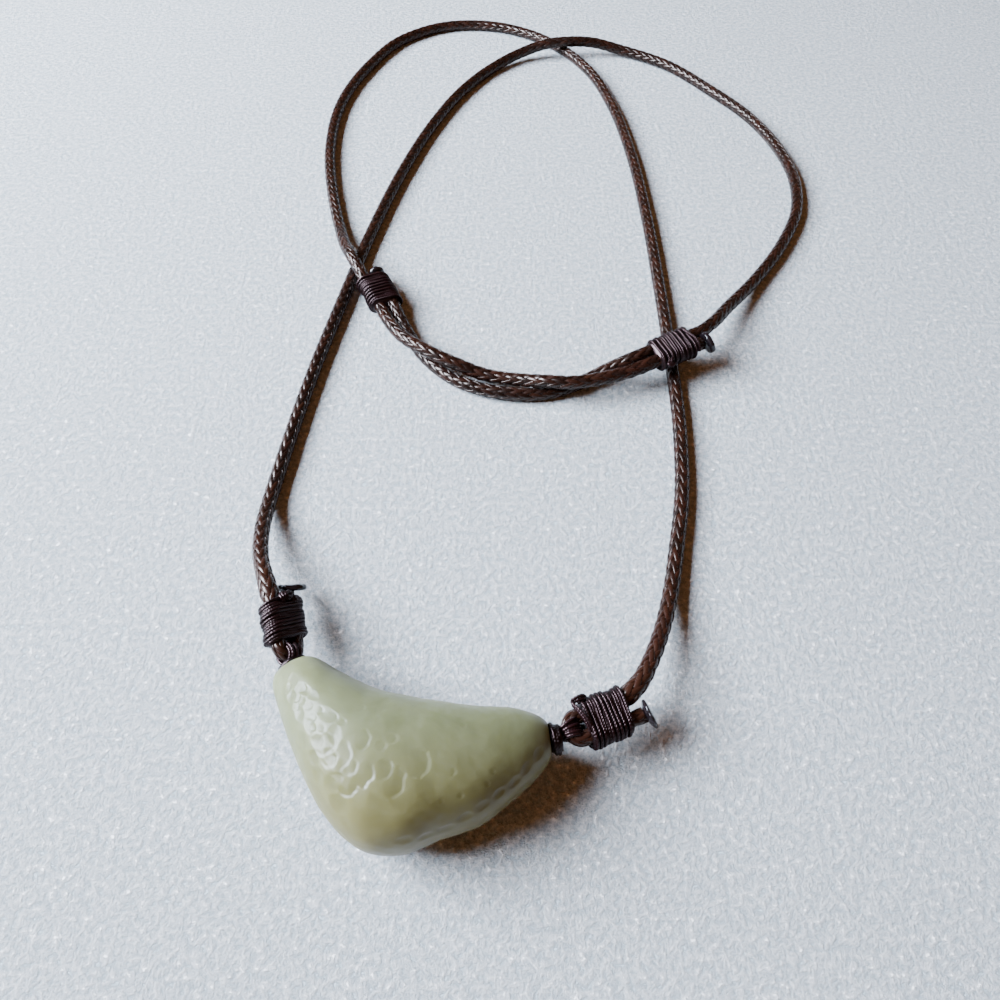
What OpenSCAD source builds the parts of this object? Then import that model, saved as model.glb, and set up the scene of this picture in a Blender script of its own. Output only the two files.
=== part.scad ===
// Jade pendant on an adjustable braided cord, laid out on a flat surface.
// X runs to the right, Y away from the pendant along the loop, Z up. Millimetres.
// The origin is on the surface, below the middle of the stone.

/* [Stone] */
// Length of the stone from end to end
stone_len = 39.2; // [38.4:0.2:39.4]
// Height of the widest outline of the stone above the surface
stone_mid = 6.4; // [6.2:0.1:6.8]
// Squareness of the stone's cross-section, 2 is an ellipse
stone_square = 2.25; // [2:0.05:2.6]
// Bluntness of the stone's two ends
stone_blunt = 2.6; // [2.2:0.1:3]
// Diameter of the drilled hole that takes the link thread
bore_d = 2.2; // [1.8:0.1:2.6]
// Depth of the scooped dents in the face of the stone
scoop_depth = 0.35; // [0:0.05:0.6]

/* [Cord] */
// Diameter of the braided cord
cord_d = 2.5; // [2.2:0.1:2.5]
// Diameter of the cord where it is squeezed inside a whipping
squeezed_d = 2.2; // [2:0.1:2.3]
// Extra radius where the braid swells beside a whipping
cord_swell = 0.3; // [0:0.05:0.4]
// Number of flats round the cord
cord_sides = 8; // [8:2:12]
// Greatest distance between two rings of the cord
ring_step = 13; // [6:1:16]

/* [Thread] */
// Diameter of the two-ply thread that is wound on
thread_d = 0.8; // [0.7:0.05:0.8]
// Diameter of the thread that goes through the eye of the cord
link_d = 0.65; // [0.5:0.05:0.65]
// Turns in the left whipping beside the stone, the right one has a turn less
whipping_turns = 9; // [6:1:9]
// Turns in each slide knot
slide_turns = 8; // [5:1:8]

/* [Melted ends] */
// Diameter of the melted end of the cord
tip_d = 4.3; // [3.4:0.1:4.6]
// Thickness of the melted end
tip_t = 1; // [0.8:0.1:1.4]

/* [Hidden] */
// Rows run along the stone from its left end, one every station_step.
// Columns: middle of the outline in Y, half its depth, rise above the widest
// outline, drop below it. The blunt ends are rounded off by end_round().
STATIONS = [
    [9.4, 4.6, 6, 3.8],
    [5.9, 9.1, 8, 5.4],
    [1, 10.3, 9, 6.3],
    [-2.1, 10.4, 9.2, 6.35],
    [-2.9, 9.9, 8.9, 6.4],
    [-2.4, 8.7, 8.2, 6.3],
    [-1.8, 8.1, 7.3, 6],
    [-0.1, 7.2, 6.4, 5.6],
    [1.1, 6.3, 5.4, 5.2]
];
station_step = 5;
MID_Y = 0;
HALF_Y = 1;
RISE = 2;
DROP = 3;

// Scooped dents in the upper face. Columns: X, Y, radius.
SCOOPS = [
    [-16.2, 7.6, 2.4],
    [-14.2, 4.2, 2.2],
    [-12.4, 1, 2.5],
    [-10.4, -2.6, 2.6],
    [-8.6, -6.4, 2.4],
    [-11, 5.2, 2],
    [-7.6, 1.6, 2.3],
    [-5.6, -3, 2.4],
    [-4.4, -7.2, 2.6],
    [-1.2, -1.4, 2.5],
    [0.2, -6, 2.4],
    [3.4, -3.2, 2.4],
    [4.4, -7.8, 2.2],
    [8.6, -5.2, 2.2],
    [-0.8, -10.4, 2.2]
];

// The two straight drillings meet in a small round hollow at bore_turn, and end in
// flat seats for the collars
bore_turn = [-8, -2, stone_mid];
turn_room = 0.8;
seat_left = [-17.05, 11.3, stone_mid];
seat_right = [18.9, 1.4, stone_mid];
seat_d = 4.9;
link_rod_d = 1.5;
link_out_left = 1.35;
link_out_right = 1.75;
collar_left_len = 1.1;
collar_right_len = 1.7;

// Each whipping starts at the eye of the cord and points along its own +X.
// Its roll lifts the long cord above the short end.
eye_left = [-18.5, 14.9, 6.4];
eye_left_turn = [48, 6, atan2(3, -1)];
eye_right = [23.2, 3.15, 6.2];
eye_right_turn = [0, 6, atan2(2, 5)];
whipping_left_len = 7.3;
whipping_right_len = 6.8;
stub_left_len = 2.6;
stub_right_len = 2.1;
tip_left_shift = 1.1;
tip_right_shift = 0.2;
// How far each pressed end leans up from square to its cord, and the left one swings aside
tip_left_tilt = 34;
tip_right_tilt = 22;
end_right_tilt = 15;
tip_left_swing = -16;

// Middle of each slide knot, and the way its two cords run
slide_left = [-12.6, 93.6, 2.5];
slide_left_yaw = atan2(-2, 1);
slide_right = [45, 75.3, 4.9];
slide_right_yaw = atan2(1, 2);

// The cord from the left whipping, through the right slide knot, to the left one
ROUTE_LEFT = [
    [-22, 22.1, 6.7],
    [-23.2, 25, 6.5],
    [-25.2, 29.7, 5.2],
    [-26.6, 35.6, 3.4],
    [-27, 43.5, 1.5],
    [-26.2, 52, 1.34],
    [-23.6, 73, 1.26],
    [-20.2, 93, 1.25],
    [-16, 116, 1.25],
    [-10.2, 140, 1.26],
    [-4.1, 158.5, 1.26],
    [2.5, 173, 1.3],
    [10, 183.8, 1.35],
    [18, 190.5, 2.1],
    [25, 192.5, 3.5],
    [31.5, 193, 3.95],
    [38, 193.6, 3.4],
    [46, 192.8, 1.8],
    [57, 186.5, 1.35],
    [68, 173, 1.26],
    [76.6, 159, 1.26],
    [80.6, 147, 1.25],
    [82, 134.5, 1.25],
    [80, 122.3, 1.25],
    [74.5, 110.8, 1.3],
    [66, 98.4, 1.6],
    [58, 88.2, 3.2],
    [53.8, 82.5, 4.5],
    [50.9, 79.8, 4.85],
    [48.6, 78.6, 4.9],
    [40.2, 74.4, 4.9],
    [37.8, 73.3, 4.7],
    [33, 72, 3],
    [28.7, 70.4, 1.6],
    [22, 67.6, 1.32],
    [13, 67.4, 1.27],
    [4, 70.6, 1.27],
    [-1.7, 75.8, 1.32],
    [-5.4, 81.7, 1.35],
    [-8.3, 87.5, 2.15],
    [-9.4, 90.2, 2.5],
    [-13.6, 98.6, 2.5]
];

// The cord from the right whipping, through the left slide knot, to the right one
ROUTE_RIGHT = [
    [29.4, 7.3, 5.45],
    [31, 8.5, 5.5],
    [32.5, 10.2, 5.4],
    [33.9, 12.6, 4.85],
    [35.2, 15.1, 4.1],
    [36.8, 18.7, 3.1],
    [39.2, 25.6, 1.8],
    [41.2, 33.5, 1.35],
    [43.4, 43.5, 1.28],
    [45, 58, 1.25],
    [45.6, 78, 1.25],
    [45.7, 98, 1.25],
    [45.5, 120, 1.25],
    [44.2, 145, 1.25],
    [41.2, 166.5, 1.25],
    [36.4, 183, 1.25],
    [29.5, 194.5, 1.25],
    [20.5, 202.8, 1.25],
    [8.5, 207.7, 1.25],
    [-4, 207, 1.25],
    [-15.5, 199.5, 1.25],
    [-23.5, 185.5, 1.25],
    [-29, 167, 1.25],
    [-29.5, 146.5, 1.27],
    [-26.7, 128.5, 1.35],
    [-23, 114, 1.7],
    [-21, 107.5, 3.1],
    [-19, 102.8, 4.1],
    [-17.2, 99.6, 3.4],
    [-15.9, 97.2, 2.5],
    [-11.7, 88.8, 2.5],
    [-10.6, 86.2, 2.9],
    [-6.4, 79.4, 3.9],
    [-1.2, 75.3, 4.15],
    [3.6, 73, 3.5],
    [9, 71.4, 2.2],
    [16.9, 69.3, 2.8],
    [21.3, 67.9, 4],
    [25.2, 67.5, 4.15],
    [31, 68.4, 4.2],
    [39, 70.8, 4.75],
    [41.4, 72, 4.9],
    [51, 76.8, 4.9]
];

piece_gap = 0.1;
link_gap = 0.07;
cord_r = cord_d / 2;
squeezed_r = squeezed_d / 2;
thread_r = thread_d / 2;
link_r = link_d / 2;
stone_rings = 56;
stone_sides = 40;
slide_pitch = 1.1;
swell_run = 9;
// Half the distance between the two cords in a whipping, and in a slide knot
eye_r = squeezed_r + link_r + piece_gap;
slide_half = norm([0.6, 1.2]);
whipping_start = 0.5;
// How far the wound base stands out past the middle of its turns
base_t = 0.05;
slide_len = slide_turns * slide_pitch;
collar_r = 2.3;
collar_bore_r = 1.5;
cap_d = 3.3;
cap_t = 1.4;
cap_shift = -0.3;
end_shift = -0.5;

stone_colour = "#aab092";
cord_colour = "#4a2c22";
thread_colour = "#2f1d1e";
melted_colour = "#171315";

// Smooth line through the points: unit tangents weighted by the spans beside them
function span(p, i) = norm(p[i + 1] - p[i]);
function tangent(p, i) =
    i == 0 ? (p[1] - p[0]) / span(p, 0) :
    i == len(p) - 1 ? (p[i] - p[i - 1]) / span(p, i - 1) :
    let (before = span(p, i - 1), after = span(p, i))
    (before * (p[i + 1] - p[i]) / after + after * (p[i] - p[i - 1]) / before) / (before + after);
function on_span(p, i, t) =
    let (d = span(p, i))
    (2 * t ^ 3 - 3 * t ^ 2 + 1) * p[i] + (t ^ 3 - 2 * t ^ 2 + t) * d * tangent(p, i)
    + (3 * t ^ 2 - 2 * t ^ 3) * p[i + 1] + (t ^ 3 - t ^ 2) * d * tangent(p, i + 1);
function smooth_line(p, step) = [
    for (i = [0:len(p) - 2])
        let (parts = max(1, round(span(p, i) / step)))
        for (k = [0:parts - 1])
            on_span(p, i, k / parts),
    p[len(p) - 1]
];

// One value of a table column at x, smooth between its rows
function column_at(table, column, x, step) =
    let (s = x / step + (len(table) - 1) / 2)
    let (i = max(0, min(len(table) - 2, floor(s))), t = s - i)
    let (b = table[i][column], c = table[i + 1][column])
    let (a = table[max(0, i - 1)][column], d = table[min(len(table) - 1, i + 2)][column])
    b + 0.5 * t * (c - a + t * (2 * a - 5 * b + 4 * c - d + t * (3 * (b - c) + d - a)));

// Faces of a tube of rings, each with the same number of points, closed by two fans
function tube_faces(rings, sides) = [
    for (i = [0:rings - 2])
        for (j = [0:sides - 1])
            let (a = i * sides + j, b = i * sides + (j + 1) % sides)
            each [[a, b, a + sides], [b, b + sides, a + sides]],
    for (j = [1:sides - 2])
        [0, j + 1, j],
    let (last = (rings - 1) * sides)
    for (j = [1:sides - 2])
        [last, last + j, last + j + 1]
];

// Tube of round section along a line, with a radius for each point of the line
module swept_tube(line, radii, sides) {
    count = len(line);
    ring = [
        for (i = [0:count - 1])
            let (way = line[min(count - 1, i + 1)] - line[max(0, i - 1)])
            let (ahead = way / norm(way))
            let (across = cross([0, 0, 1], ahead) / norm(cross([0, 0, 1], ahead)))
            let (up = cross(ahead, across))
            for (j = [0:sides - 1])
                let (a = 360 * j / sides)
                line[i] + radii[i] * (cos(a) * across + sin(a) * up)
    ];
    polyhedron(ring, tube_faces(count, sides));
}

// Distance from the start of a line to each of its points
function run_to(line, i) = i == 0 ? 0 : run_to(line, i - 1) + norm(line[i] - line[i - 1]);

module cord_tube(route) {
    line = smooth_line(route, ring_step);
    radii = [
        for (i = [0:len(line) - 1])
            let (left = max(0, 1 - run_to(line, i) / swell_run))
            cord_r + cord_swell * left * left
    ];
    color(cord_colour)
        swept_tube(line, radii, cord_sides);
}

// The angle in plan of a direction
function heading(way) = atan2(way.y, way.x);

// Puts a piece that points along +X at a place, turned by roll, dip and yaw
module placed(place, turn) {
    translate(place)
        rotate(turn)
        children();
}

// Outline round two equal circles that stand half_gap either side of the middle
module slot_outline(r, half_gap) {
    square([2 * half_gap, 2 * r], center = true);
    for (side = [-1, 1])
        translate([side * half_gap, 0])
            circle(r, $fn = 48);
}

// One turn of thread round two cords, lying in the YZ plane
module thread_turn(r, half_gap) {
    for (side = [0, 1])
        mirror([0, side, 0])
            translate([0, half_gap, 0])
            rotate([0, 90, 0])
            rotate_extrude(angle = 180, $fn = 36)
            translate([r, 0])
            circle(thread_r, $fn = 20);
    for (side = [-1, 1])
        translate([0, -half_gap, side * r])
            rotate([-90, 0, 0])
            cylinder(r = thread_r, h = 2 * half_gap, $fn = 20);
}

// Close turns of thread on a thin wound base, open inside for two cords, along +X
module winding(inner_r, half_gap, turns, pitch) {
    base_r = inner_r + thread_r + base_t;
    translate([piece_gap, 0, 0])
        rotate([90, 0, 90])
        linear_extrude(turns * pitch - 2 * piece_gap)
        difference() {
            slot_outline(base_r, half_gap);
            slot_outline(inner_r, half_gap);
        }
    for (i = [0:turns - 1])
        translate([(i + 0.5) * pitch, 0, 0])
            thread_turn(base_r, half_gap);
}

module whipping(place, turn, run, turns) {
    color(thread_colour)
        placed(place, turn)
        translate([whipping_start, 0, 0])
        winding(squeezed_r + piece_gap, eye_r, turns, run / turns);
}

module slide_knot(place, yaw) {
    color(thread_colour)
        placed(place, [0, 0, yaw])
        translate([-slide_len / 2, 0, 0])
        winding(cord_r + piece_gap, slide_half, slide_turns, slide_pitch);
}

// Where the pressed end of a short leg sits: the end of the leg, tilted up and swung aside
module at_tip(turn, reach, shift, tilt, swing) {
    translate([whipping_start + reach, -eye_r - shift, 0])
        rotate([-turn.x, 0, 0])
        rotate([0, -tilt, swing])
        children();
}

// The folded end of a cord: a half ring round the link thread and two straight legs.
// The leg on the +Y side carries on as the long cord. The other ends in a stub, cut
// off where its pressed end leans.
module eye_loop(place, turn, run, stub, shift, tilt, swing) {
    leg = whipping_start + run;
    color(cord_colour)
        placed(place, turn) {
            rotate([0, 0, 90])
                rotate_extrude(angle = 180, $fn = 48)
                translate([eye_r, 0])
                circle(squeezed_r, $fn = 32);
            translate([0, eye_r, 0])
                rotate([0, 90, 0])
                cylinder(r = squeezed_r, h = leg, $fn = 32);
            difference() {
                translate([0, -eye_r, 0])
                    rotate([0, 90, 0])
                    cylinder(r = squeezed_r, h = leg + stub + squeezed_d, $fn = 32);
                at_tip(turn, run + stub, shift, tilt, swing)
                    translate([0, -tip_d, -tip_d])
                    cube(2 * tip_d);
            }
        }
}

// Flattened bead of melted cord, a disc with a rounded rim, along +X
module melted_bead(d, t) {
    color(melted_colour)
        rotate([0, 90, 0])
        rotate_extrude($fn = 40) {
            square([d / 2 - t / 2, t]);
            translate([d / 2 - t / 2, t / 2])
                circle(t / 2, $fn = 24);
        }
}

module melted_tip(place, turn, reach, shift, tilt, swing) {
    placed(place, turn)
        at_tip(turn, reach, shift, tilt, swing)
        translate([piece_gap / 2, 0, 0])
        melted_bead(tip_d, tip_t);
}

// The end of a route, just past its last point, leaning up by a tilt
module melted_end(route, d, t, shift, tilt) {
    last = route[len(route) - 1];
    placed(last, [0, -tilt, heading(last - route[len(route) - 2])])
        translate([piece_gap / 2 + cord_r * sin(tilt), shift, 0])
        melted_bead(d, t);
}

// Two turns of thread round the link where it leaves the stone
module collar(seat, run) {
    turn_r = collar_r - thread_r;
    color(thread_colour)
        placed(seat, [0, 90, heading(seat - bore_turn)])
        translate([0, 0, piece_gap])
        rotate_extrude($fn = 40)
        intersection() {
            square([collar_r, run]);
            union() {
                translate([collar_bore_r, 0])
                    square([turn_r - collar_bore_r, run]);
                for (i = [0, 1])
                    translate([turn_r, run * (i + 0.5) / 2])
                        circle(run / 4 + piece_gap, $fn = 20);
            }
        }
}

function end_round(x) =
    let (s = min(1, abs(x) / (stone_len / 2)))
    (1 - s ^ stone_blunt) ^ (1 / stone_blunt);
function power_of(v) = sign(v) * abs(v) ^ (2 / stone_square);
function scoop_at(x, y) =
    max([
        for (s = SCOOPS)
            let (d = min(1, norm([x - s.x, y - s.y]) / s.z))
            scoop_depth * (1 - d * d) * (1 - d * d)
    ]);
function stone_point(x, a) =
    let (e = end_round(x))
    let (y = column_at(STATIONS, MID_Y, x, station_step)
        + e * column_at(STATIONS, HALF_Y, x, station_step) * power_of(cos(a)))
    let (reach = e * column_at(STATIONS, sin(a) > 0 ? RISE : DROP, x, station_step))
    let (z = stone_mid + reach * power_of(sin(a)))
    [x, y, z - (sin(a) > 0.3 ? scoop_at(x, y) : 0)];

module stone_body() {
    points = [
        for (i = [1:stone_rings - 1])
            let (x = -stone_len / 2 * cos(180 * i / stone_rings))
            for (j = [0:stone_sides - 1])
                stone_point(x, 360 * j / stone_sides)
    ];
    polyhedron(points, tube_faces(stone_rings - 1, stone_sides));
}

// Cylinder from one point to another in a level plane, carried on past its end
module level_rod(from, to, d, past) {
    placed(from, [0, 90, heading(to - from)])
        cylinder(d = d, h = norm(to - from) + past, $fn = 32);
}

module collar_seat(seat) {
    placed(seat, [0, 90, heading(seat - bore_turn)])
        cylinder(d = seat_d, h = seat_d, $fn = 40);
}

module jade_pendant() {
    color(stone_colour)
        difference() {
            stone_body();
            level_rod(bore_turn, seat_left, bore_d, seat_d);
            level_rod(bore_turn, seat_right, bore_d, seat_d);
            translate(bore_turn)
                sphere(d = bore_d + turn_room, $fn = 32);
            collar_seat(seat_left);
            collar_seat(seat_right);
        }
}

// The link thread's ring round the folded cord, through the eye, toward the stone
module link_ring(eye, seat, turn) {
    placed(eye, turn)
        rotate([0, 0, heading(eye - seat) - turn.z])
        translate([-eye_r, 0, 0])
        rotate([90, 0, 0])
        rotate_extrude($fn = 48)
        translate([squeezed_r + link_r + link_gap, 0])
        circle(link_r, $fn = 20);
}

module link_thread() {
    color(thread_colour) {
        level_rod(bore_turn, seat_left, link_rod_d, link_out_left);
        level_rod(bore_turn, seat_right, link_rod_d, link_out_right);
        translate(bore_turn)
            sphere(d = link_rod_d, $fn = 32);
        link_ring(eye_left, seat_left, eye_left_turn);
        link_ring(eye_right, seat_right, eye_right_turn);
    }
}

module collar_left() {
    collar(seat_left, collar_left_len);
}

module collar_right() {
    collar(seat_right, collar_right_len);
}

module eye_loop_left() {
    eye_loop(eye_left, eye_left_turn, whipping_left_len, stub_left_len,
        tip_left_shift, tip_left_tilt, tip_left_swing);
}

module eye_loop_right() {
    eye_loop(eye_right, eye_right_turn, whipping_right_len, stub_right_len,
        tip_right_shift, tip_right_tilt, 0);
}

module whipping_left() {
    whipping(eye_left, eye_left_turn, whipping_left_len, whipping_turns);
}

module whipping_right() {
    whipping(eye_right, eye_right_turn, whipping_right_len, whipping_turns - 1);
}

module melted_tip_left() {
    melted_tip(eye_left, eye_left_turn, whipping_left_len + stub_left_len,
        tip_left_shift, tip_left_tilt, tip_left_swing);
}

module melted_tip_right() {
    melted_tip(eye_right, eye_right_turn, whipping_right_len + stub_right_len,
        tip_right_shift, tip_right_tilt, 0);
}

module cord_left() {
    cord_tube(ROUTE_LEFT);
}

module cord_right() {
    cord_tube(ROUTE_RIGHT);
}

module slide_knot_left() {
    slide_knot(slide_left, slide_left_yaw);
}

module slide_knot_right() {
    slide_knot(slide_right, slide_right_yaw);
}

module melted_end_left() {
    melted_end(ROUTE_LEFT, cap_d, cap_t, cap_shift, 0);
}

module melted_end_right() {
    melted_end(ROUTE_RIGHT, tip_d, tip_t, end_shift, end_right_tilt);
}

jade_pendant();
link_thread();
collar_left();
collar_right();
eye_loop_left();
eye_loop_right();
whipping_left();
whipping_right();
melted_tip_left();
melted_tip_right();
cord_left();
cord_right();
slide_knot_left();
slide_knot_right();
melted_end_left();
melted_end_right();
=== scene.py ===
# Jade pendant on an adjustable braided cord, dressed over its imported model
import math
import random

import bmesh
import bpy
from mathutils import Euler, Matrix, Vector, geometry, kdtree, noise


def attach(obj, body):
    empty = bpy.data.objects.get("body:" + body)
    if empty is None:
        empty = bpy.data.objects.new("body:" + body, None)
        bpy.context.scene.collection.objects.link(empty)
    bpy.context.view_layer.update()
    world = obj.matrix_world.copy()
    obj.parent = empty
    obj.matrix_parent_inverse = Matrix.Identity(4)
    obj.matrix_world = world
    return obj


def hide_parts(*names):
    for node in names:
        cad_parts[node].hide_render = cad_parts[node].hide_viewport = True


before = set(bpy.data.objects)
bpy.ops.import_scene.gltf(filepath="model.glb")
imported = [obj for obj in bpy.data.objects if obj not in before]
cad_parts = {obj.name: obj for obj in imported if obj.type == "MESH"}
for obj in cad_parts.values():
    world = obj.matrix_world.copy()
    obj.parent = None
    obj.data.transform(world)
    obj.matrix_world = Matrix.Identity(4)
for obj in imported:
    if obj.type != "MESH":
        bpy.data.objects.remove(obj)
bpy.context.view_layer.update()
mm = 0.001
print("frame loaded,", len(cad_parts), "nodes")

# camera: 57 degrees down, 109 mm above the surface, a phone's main lens
cameraSetup = {"place": (12.3, -26.6, 109), "tipFromDown": 33, "lens": 27, "sensor": 36}
cameraData = bpy.data.cameras.new("photoCamera")
cameraData.lens = cameraSetup["lens"]
cameraData.sensor_width = cameraSetup["sensor"]
cameraData.clip_start = 0.002
camera = bpy.data.objects.new("photoCamera", cameraData)
camera.location = Vector(cameraSetup["place"]) * mm
camera.rotation_euler = (math.radians(cameraSetup["tipFromDown"]), 0, 0)
bpy.context.scene.collection.objects.link(camera)
bpy.context.scene.camera = camera


def toLinear(hexColour):  # sRGB hex to linear RGBA
    parts = [int(hexColour[i:i + 2], 16) / 255 for i in (1, 3, 5)]
    return [p / 12.92 if p <= 0.04045 else ((p + 0.055) / 1.055) ** 2.4 for p in parts] + [1]


def addNode(tree, kind, settings=None, links=None):  # one node with its values and what feeds it
    node = tree.nodes.new(kind)
    for key, value in (settings or {}).items():
        if isinstance(key, str) and hasattr(node, key):
            setattr(node, key, value)
        else:
            node.inputs[key].default_value = value
    for key, source in (links or {}).items():
        tree.links.new(source, node.inputs[key])
    return node


def addNoise(tree, scale, detail, vector, **more):
    return addNode(tree, "ShaderNodeTexNoise", {"Scale": scale, "Detail": detail, **more}, {"Vector": vector})


def addBump(tree, strength, distance, height):
    return addNode(tree, "ShaderNodeBump", {"Strength": strength, "Distance": distance}, {"Height": height})


def addTint(tree, darkHex, lightHex, factor):
    return addNode(tree, "ShaderNodeMix",
                   {"data_type": "RGBA", 6: toLinear(darkHex), 7: toLinear(lightHex)}, {0: factor})


def newMaterial(name):
    material = bpy.data.materials.new(name)
    material.use_nodes = True
    material.node_tree.nodes.clear()
    return material, material.node_tree


def addPiece(name, mesh, material, slotName, *nodes):
    piece = bpy.data.objects.new(name, mesh)
    bpy.context.scene.collection.objects.link(piece)
    mesh.materials.append(material)
    for polygon in mesh.polygons:
        polygon.use_smooth = True
    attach(piece, "root")
    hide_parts(*nodes)
    return piece


def placeOf(place, turn):  # where a piece that points along +X goes, as in the CAD
    return Matrix.Translation(Vector(place)) @ Euler([math.radians(t) for t in turn]).to_matrix().to_4x4()


def smoothLine(points, step):  # the same smooth line through the route's points as the CAD's
    points = [Vector(p) for p in points]
    spans = [(b - a).length for a, b in zip(points, points[1:])]
    tangents = [(points[1] - points[0]) / spans[0]]
    for i in range(1, len(points) - 1):
        before, after = spans[i - 1], spans[i]
        pull = before * (points[i + 1] - points[i]) / after + after * (points[i] - points[i - 1]) / before
        tangents.append(pull / (before + after))
    tangents.append((points[-1] - points[-2]) / spans[-1])
    line = []
    for i, reach in enumerate(spans):
        a, b = points[i], points[i + 1]
        parts = max(1, round(reach / step))
        handles = a + tangents[i] * reach / 3, b - tangents[i + 1] * reach / 3
        line += geometry.interpolate_bezier(a, handles[0], handles[1], b, parts + 1)[:-1]
    return line + [points[-1]]


def framesAlong(line):  # ahead, side and up at each point, carried along without twist
    frames, side = [], None
    for i in range(len(line)):
        ahead = (line[min(i + 1, len(line) - 1)] - line[max(i - 1, 0)]).normalized()
        side = ahead.cross(Vector((0, 0, 1))) if side is None else side - ahead * side.dot(ahead)
        side.normalize()
        frames.append((ahead, side, side.cross(ahead)))
    return frames


def runAlong(line):  # distance from the start to each point
    run = [0.0]
    for a, b in zip(line, line[1:]):
        run.append(run[-1] + (b - a).length)
    return run


class Sweep:  # gathers rings of points swept along lines, and makes one mesh of them
    def __init__(self):
        self.points, self.faces, self.uvs, self.shades = [], [], [], []

    def addTube(self, rings, run, shade):
        sides, start = len(rings[0]), len(self.points)
        for ring in rings:
            self.points += ring
        self.shades += [shade] * (sides * len(rings))
        for i in range(len(rings) - 1):
            low = start + i * sides
            for j in range(sides):
                k = (j + 1) % sides
                self.faces.append((low + j, low + k, low + sides + k, low + sides + j))
                u0, u1, v0, v1 = run[i], run[i + 1], j / sides, (j + 1) / sides
                self.uvs += [u0, v0, u0, v1, u1, v1, u1, v0]
        self.faces.append(tuple(start + j for j in reversed(range(sides))))
        self.faces.append(tuple(start + (len(rings) - 1) * sides + j for j in range(sides)))
        self.uvs += [run[0], 0] * sides + [run[-1], 0] * sides

    def toMesh(self, name):
        mesh = bpy.data.meshes.new(name)
        mesh.from_pydata([p * mm for p in self.points], [], self.faces)
        mesh.uv_layers.new(name="along").data.foreach_set("uv", self.uvs)
        mesh.attributes.new("strandShade", "FLOAT", "POINT").data.foreach_set("value", self.shades)
        return mesh


# braided cord: 16 flat yarns, each over two and under two
braid = {
    "diameter": 2.5,       # mm
    "squeezed": 2.2,       # inside a whipping
    "swell": 0.3,          # extra radius beside a whipping
    "swellRun": 9,
    "yarnsEachWay": 8,
    "lead": 18,            # one full turn of a yarn, so the braid repeats every 2.25 mm
    "yarnWidth": 0.86,
    "yarnThickness": 0.36,
    "wave": 0.12,          # how far a yarn dives
    "proud": 0.05,         # how far the floats stand out past the measured diameter
    "crest": 0.3,          # how much the top of a float is flattened
    "coreInset": 0.08,     # the plain core inside the yarns
    "coreSides": 10,
    "coreEvery": 3,
    "easeFrom": -1.2,      # where the cord starts to grow as it leaves its whipping, and over how far
    "easeRun": 2.6,
    "step": 0.5,
    "eyeStep": 0.3,
    "seed": 7,
    "eyeSeed": 40,
}
# round the outer face of a yarn in degrees, with one point on its hidden side
yarnOutline = [(math.cos(math.radians(a)), math.sin(math.radians(a))) for a in (0, 42, 90, 138, 180, 270)]


def braidOn(line, radii, seedShift):
    rng = random.Random(braid["seed"] + seedShift)
    frames, run = framesAlong(line), runAlong(line)
    sweep = Sweep()
    count, full = braid["yarnsEachWay"], braid["diameter"] / 2
    middle = full - braid["yarnThickness"] / 2 - braid["wave"] + braid["proud"]
    for way in (1, -1):
        for yarn in range(count):
            centres, outs = [], []
            for p, (ahead, side, up), s, r in zip(line, frames, run, radii):
                crossing = s / (braid["lead"] / (2 * count))
                angle = 2 * math.pi * (yarn / count + way * crossing / (2 * count))
                phase = math.pi / 2 * (2 * yarn + way * crossing - (0.5 if way > 0 else 2.5))
                lift = math.cos(phase)
                lift *= 1 + braid["crest"] - braid["crest"] * lift * lift
                out = side * math.cos(angle) + up * math.sin(angle)
                centres.append(p + out * (middle + braid["wave"] * lift) * r / full)
                outs.append(out)
            rings = []
            for i, (centre, out) in enumerate(zip(centres, outs)):
                ahead = centres[min(i + 1, len(centres) - 1)] - centres[max(i - 1, 0)]
                across = out.cross(ahead).normalized() * braid["yarnWidth"] / 2 * radii[i] / full
                out = ahead.cross(across).normalized() * braid["yarnThickness"] / 2 * radii[i] / full
                rings.append([centre + across * c + out * s for c, s in yarnOutline])
            sweep.addTube(rings, run, rng.random())
    core = []
    spots = list(range(0, len(line), braid["coreEvery"])) + [len(line) - 1]
    corners = [2 * math.pi * k / braid["coreSides"] for k in range(braid["coreSides"])]
    for i in spots:
        _, side, up = frames[i]
        core.append([line[i] + (up * math.cos(a) + side * math.sin(a)) * (middle - braid["coreInset"])
                     * radii[i] / full for a in corners])
    sweep.addTube(core, [run[i] for i in spots], 0)
    return sweep


# routes in mm: from each whipping, round the laid-out loop, to the far slide knot
routeLeft = [
    (-22, 22.1, 6.7), (-23.2, 25, 6.5), (-25.2, 29.7, 5.2), (-26.6, 35.6, 3.4), (-27, 43.5, 1.5),
    (-26.2, 52, 1.34), (-23.6, 73, 1.26), (-20.2, 93, 1.25), (-16, 116, 1.25), (-10.2, 140, 1.26),
    (-4.1, 158.5, 1.26), (2.5, 173, 1.3), (10, 183.8, 1.35), (18, 190.5, 2.1), (25, 192.5, 3.5),
    (31.5, 193, 3.95), (38, 193.6, 3.4), (46, 192.8, 1.8), (57, 186.5, 1.35), (68, 173, 1.26),
    (76.6, 159, 1.26), (80.6, 147, 1.25), (82, 134.5, 1.25), (80, 122.3, 1.25), (74.5, 110.8, 1.3),
    (66, 98.4, 1.6), (58, 88.2, 3.2), (53.8, 82.5, 4.5), (50.9, 79.8, 4.85), (48.6, 78.6, 4.9),
    (40.2, 74.4, 4.9), (37.8, 73.3, 4.7), (33, 72, 3), (28.7, 70.4, 1.6), (22, 67.6, 1.32),
    (13, 67.4, 1.27), (4, 70.6, 1.27), (-1.7, 75.8, 1.32), (-5.4, 81.7, 1.35), (-8.3, 87.5, 2.15),
    (-9.4, 90.2, 2.5), (-13.6, 98.6, 2.5),
]
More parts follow.
